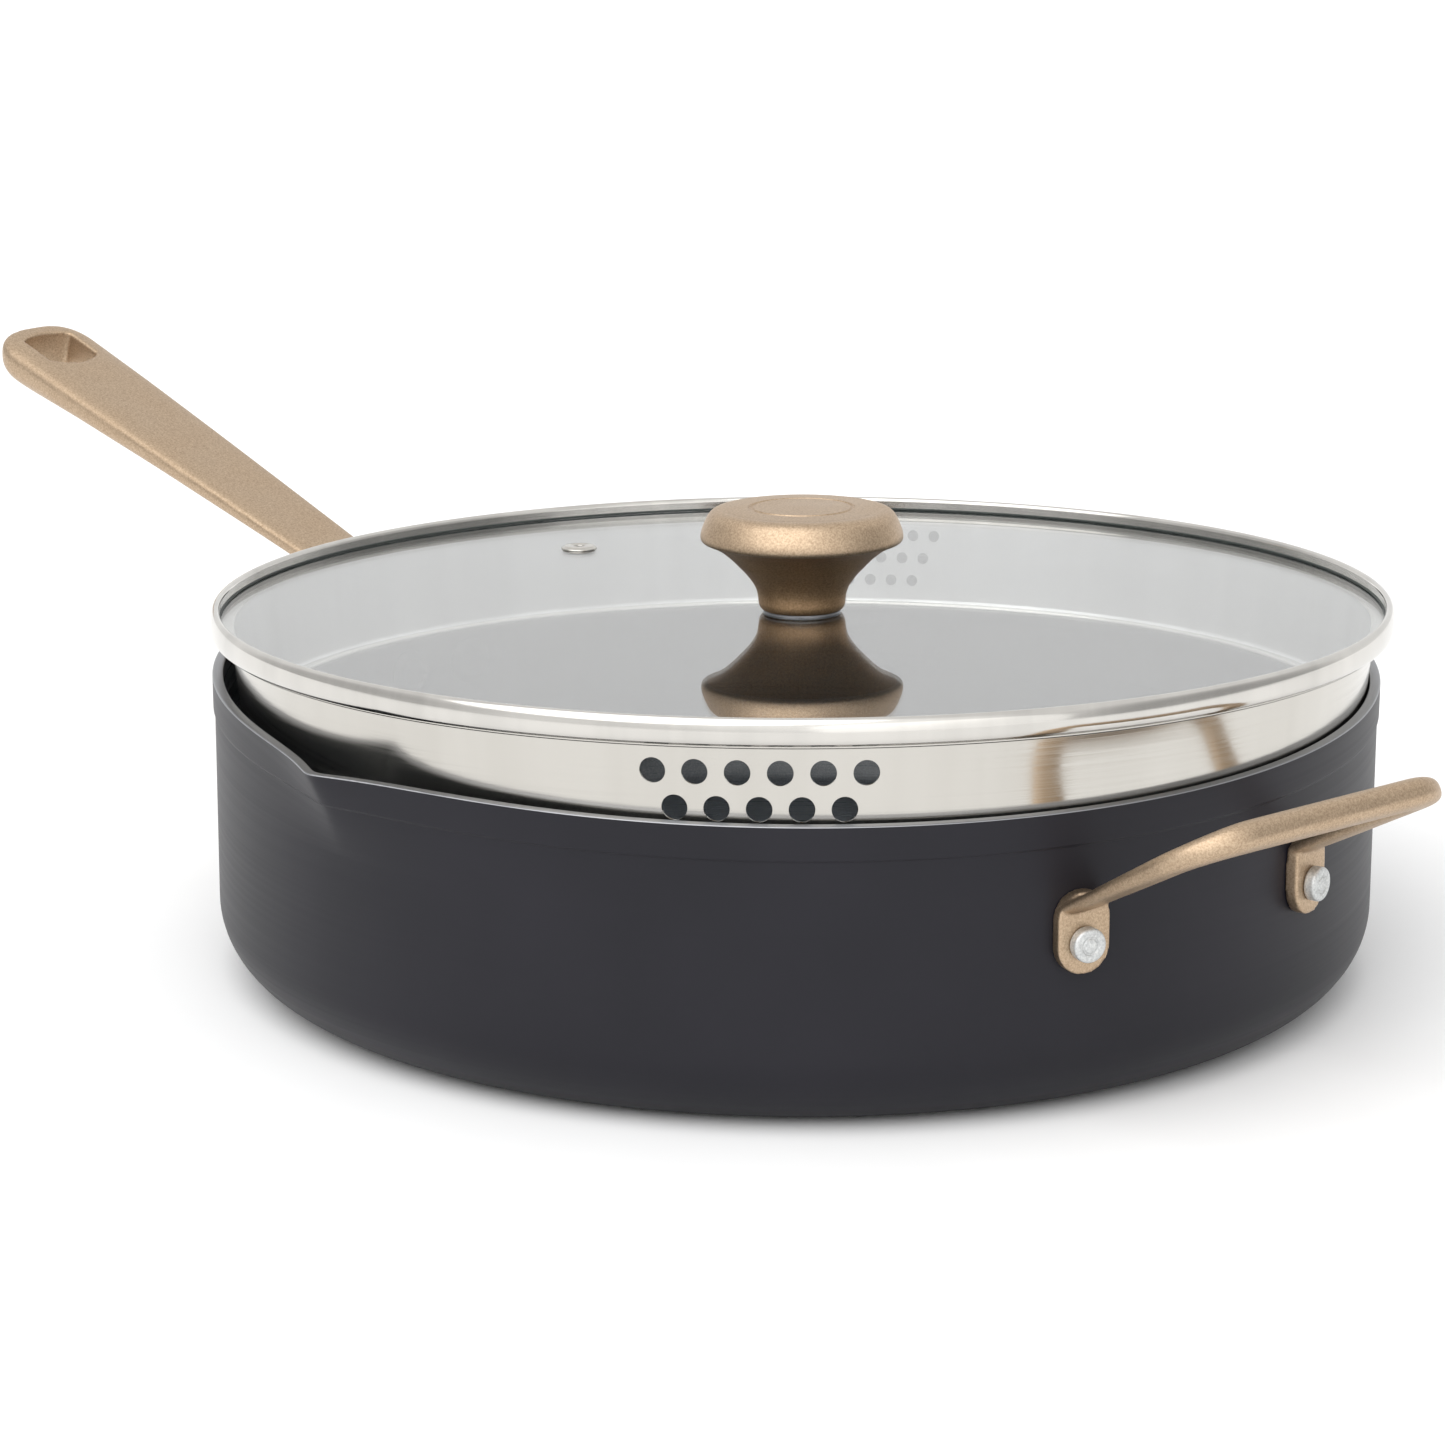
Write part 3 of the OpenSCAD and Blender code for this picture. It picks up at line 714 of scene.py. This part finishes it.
def make_glass_and_rim():
    bore_r = 4.6
    glass = rounded([(bore_r, GLASS_TOP), (GLASS_R, GLASS_TOP),
                     (GLASS_R, GLASS_BOTTOM), (bore_r, GLASS_BOTTOM)], 0.5)
    finish_piece(revolve("glass_pane", glass), "lid", "lid_glass", ["lid_glass"], GLASS)

    top, seal_in, seal_out = GLASS_TOP + GASKET_T, LIP_IN - 0.3, GLASS_R + GASKET_T
    seal = rounded([(seal_in, GLASS_TOP), (GLASS_R, GLASS_TOP), (GLASS_R, GLASS_BOTTOM),
                    (seal_in, GLASS_BOTTOM), (seal_in, FLANGE_TOP), (seal_out, FLANGE_TOP),
                    (seal_out, top), (seal_in, top)], 0.2)
    finish_piece(revolve("gasket", seal), "lid", "grey_silicone", ["rim_gasket"], SILICONE)

    # the rolled band, as (distance out from its inner edge, height)
    rolled = [(0, LIP_TOP - 0.9), (0.35, LIP_TOP - 0.25), (1.1, LIP_TOP), (1.9, LIP_TOP - 0.4),
              (2.45, LIP_TOP - 1.4), (2.72, LIP_TOP - 2.7), (LIP_W, LIP_TOP - 4.1), (2.62, LIP_TOP - 5.5),
              (2.15, LIP_TOP - 6.5), (1.6, FLANGE_TOP + 0.3), (1.2, FLANGE_TOP)]
    band = [(0, top), *eased_curve(rolled), (1.0, FLANGE_TOP), (1.0, top)]
    outline = [(LIP_IN + r, z) for r, z in band]
    finish_piece(revolve("rolled_rim", outline, 320), "lid", "polished_steel", ["lid_rim"], ROLL_STEEL)


def make_vent():
    under, over, bore_r, hole_r = GLASS_BOTTOM - 0.6, GLASS_TOP + 0.4, 1.5, 3.0
    eyelet = rounded([(bore_r, under), (4.4, under), (4.6, under + 0.3), (4.6, GLASS_BOTTOM),
                      (hole_r, GLASS_BOTTOM), (hole_r, GLASS_TOP), (5.0, GLASS_TOP), (4.9, over),
                      (4.0, over + 0.5), (2.6, over + 0.7), (bore_r, over + 0.3)], 0.3)
    spot = LID @ Matrix.Translation(Vector((-110.5, 15.5, 0)) * MM)
    finish_piece(revolve("vent", eyelet, 96, spot), "lid", "polished_steel", ["vent_eyelet"], STEEL)


def make_knob():
    # the cap's side, as (distance in from its widest, height above the stem)
    side = eased_curve([(CAP_R - r, STEM_TOP + h) for r, h in (
        (1.4, 0), (0.4, 0.45), (0, 1.4), (0.35, 3.4), (1.6, 6.4), (2.5, 7.7), (3.6, 8.5), (5, 8.85))], 5)
    groove = [(14.3, CAP_TOP - 0.3), (14.0, CAP_TOP - 0.7), (13.2, CAP_TOP - 0.7), (12.9, CAP_TOP - 0.25)]
    cap = [(0, STEM_TOP), *side, *rounded([side[-1], *groove, (0, CAP_TOP)], 0.15)[1:]]
    finish_piece(revolve("cap", cap, 200, sharp=50), "lid", "gold_finish", ["knob_cap"], GOLD)

    # the stem's side, as (share of its flare, share of its height)
    base, flare, bore_r, solid_top = GLASS_TOP + 0.5, CAP_R - 1.6 - STEM_R, 4, 2.5
    side = eased_curve([(STEM_R + flare * r, base + (STEM_TOP - base) * h) for r, h in (
        (-0.03, 0), (0.03, 0.03), (0.067, 0.09), (0.08, 0.18), (0.1, 0.27), (0.16, 0.385), (0.295, 0.535),
        (0.436, 0.655), (0.55, 0.75), (0.67, 0.835), (0.805, 0.915), (0.966, 0.985), (1, 1))], 5)
    bore_top = STEM_TOP - solid_top
    stem = [(bore_r, base), *side, (0, STEM_TOP), (0, bore_top), (bore_r, bore_top)]
    # the stem takes the darker gold, which carries painted shade in its colour
    finish_piece(revolve("stem", stem, 200, sharp=50), "lid", "gold_finish", ["knob_stem"], SHADED_GOLD_STEM)


make_pan()
make_long_handle()
make_helper()
make_rivets()
make_glass_and_rim()
make_collar()
make_vent()
make_knob()
# the small hidden pieces keep their CAD shapes and take a material
for node, material in (("knob_insert", BRASS), ("knob_base_ring", BARE), ("glass_seal", SILICONE),
                       ("screw_washer", ROLL_STEEL), ("knob_screw", ROLL_STEEL)):
    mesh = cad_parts[node].data
    mesh.materials.clear()
    mesh.materials.append(material)

# ---------------------------------------------------------------- floor, light and camera
def make_floor():
    mesh = bpy.data.meshes.new("floor")
    bm = bmesh.new()
    bmesh.ops.create_circle(bm, cap_ends=True, segments=96, radius=14)
    bm.to_mesh(mesh)
    bm.free()
    floor = bpy.data.objects.new("floor", mesh)
    floor.location.z = -0.0002
    scene.collection.objects.link(floor)
    m = Nodes("pale_floor", Metallic=0.0, Specular_IOR_Level=0.1, Roughness=0.9)
    m.colours(m.noise(m.place, 30, 2), (0.3, (0.93, 0.93, 0.93)), (0.7, (0.94, 0.94, 0.94)))
    floor.data.materials.append(m.mat)


def make_world():
    """A white studio with soft patches, each given as a direction and how much it adds to the light."""
    world = bpy.data.worlds.new("studio")
    scene.world = world
    world.use_nodes = True
    tree = world.node_tree
    background = tree.nodes["Background"]
    background.inputs["Color"].default_value = (1, 1, 1, 1)
    direction = tree.nodes.new("ShaderNodeTexCoord").outputs["Generated"]
    dim_right, dim_left, bright_front = (0.719, 0.695, 0.0), (-0.766, -0.643, 0.0), (0.609, -0.548, 0.574)
    level = None
    for toward, gain in ((dim_right, -0.5), (dim_left, -0.35), (bright_front, 0.4)):
        along = tree.nodes.new("ShaderNodeVectorMath")
        along.operation = "DOT_PRODUCT"
        along.inputs[1].default_value = toward
        tree.links.new(direction, along.inputs[0])
        patch = tree.nodes.new("ShaderNodeMapRange")
        patch.interpolation_type = "SMOOTHSTEP"
        base = 0.97 if level is None else 1.0
        peak = base * (1 + gain)
        for key, value in (("From Min", 0.72), ("From Max", 0.97), ("To Min", base), ("To Max", peak)):
            patch.inputs[key].default_value = value
        tree.links.new(along.outputs["Value"], patch.inputs["Value"])
        if level is None:
            level = patch.outputs["Result"]
        else:
            both = tree.nodes.new("ShaderNodeMath")
            both.operation = "MULTIPLY"
            tree.links.new(level, both.inputs[0])
            tree.links.new(patch.outputs["Result"], both.inputs[1])
            level = both.outputs[0]
    # what the camera sees directly is never dimmer than white
    seen = tree.nodes.new("ShaderNodeMath")
    seen.operation = "MAXIMUM"
    tree.links.new(tree.nodes.new("ShaderNodeLightPath").outputs["Is Camera Ray"], seen.inputs[0])
    tree.links.new(level, seen.inputs[1])
    tree.links.new(seen.outputs[0], background.inputs["Strength"])


def toward_azimuth(azimuth, elevation):
    """The direction of a place seen from the pan; azimuth 0 is -Y and 90 is +X."""
    a, e = math.radians(azimuth), math.radians(elevation)
    return Vector((math.sin(a) * math.cos(e), -math.cos(a) * math.cos(e), math.sin(e)))


def sun(name, azimuth, elevation, strength, angle):
    light = bpy.data.lights.new(name, "SUN")
    light.energy, light.angle = strength, math.radians(angle)
    obj = bpy.data.objects.new(name, light)
    obj.rotation_mode = "QUATERNION"
    obj.rotation_quaternion = toward_azimuth(azimuth, elevation).to_track_quat("Z", "Y")
    scene.collection.objects.link(obj)


def turned_pair(first, second, angle):
    """Two perpendicular directions turned in their plane, the first toward the second."""
    c, s = math.cos(angle), math.sin(angle)
    return first * c + second * s, second * c - first * s


def make_camera():
    """A camera 1.88 m away, 16 degrees up, on azimuth 48, turned a little off the pan's middle."""
    distance, look_at_z = 1.8756, 0.040
    elevation = math.radians(16.10)
    yaw, pitch, roll, azimuth = (math.radians(a) for a in (-0.60, 0.73, 0.44, 48.0))
    spot = Vector((0, -distance * math.cos(elevation), look_at_z + distance * math.sin(elevation)))
    ahead = Vector((0, math.cos(elevation), -math.sin(elevation)))
    up, right = Vector((0, math.sin(elevation), math.cos(elevation))), Vector((1, 0, 0))
    ahead, up = turned_pair(ahead, up, pitch)
    ahead, right = turned_pair(ahead, right, yaw)
    right, up = turned_pair(right, up, roll)
    turn = Matrix.Rotation(azimuth, 3, "Z")
    right, up, ahead, spot = turn @ right, turn @ up, turn @ ahead, turn @ spot
    data = bpy.data.cameras.new("camera")
    data.sensor_width, data.lens, data.clip_start, data.clip_end = 36.0, 173.92, 0.05, 60
    camera = bpy.data.objects.new("camera", data)
    camera.matrix_world = Matrix((right, up, -ahead)).transposed().to_4x4()
    camera.location = spot
    scene.collection.objects.link(camera)
    scene.camera = camera


make_floor()
make_world()
sun("key", 10, 50, 1.45, 70)
sun("front", 75, 10, 0.25, 50)
make_camera()

scene.view_settings.view_transform = "Standard"

bpy.context.view_layer.update()
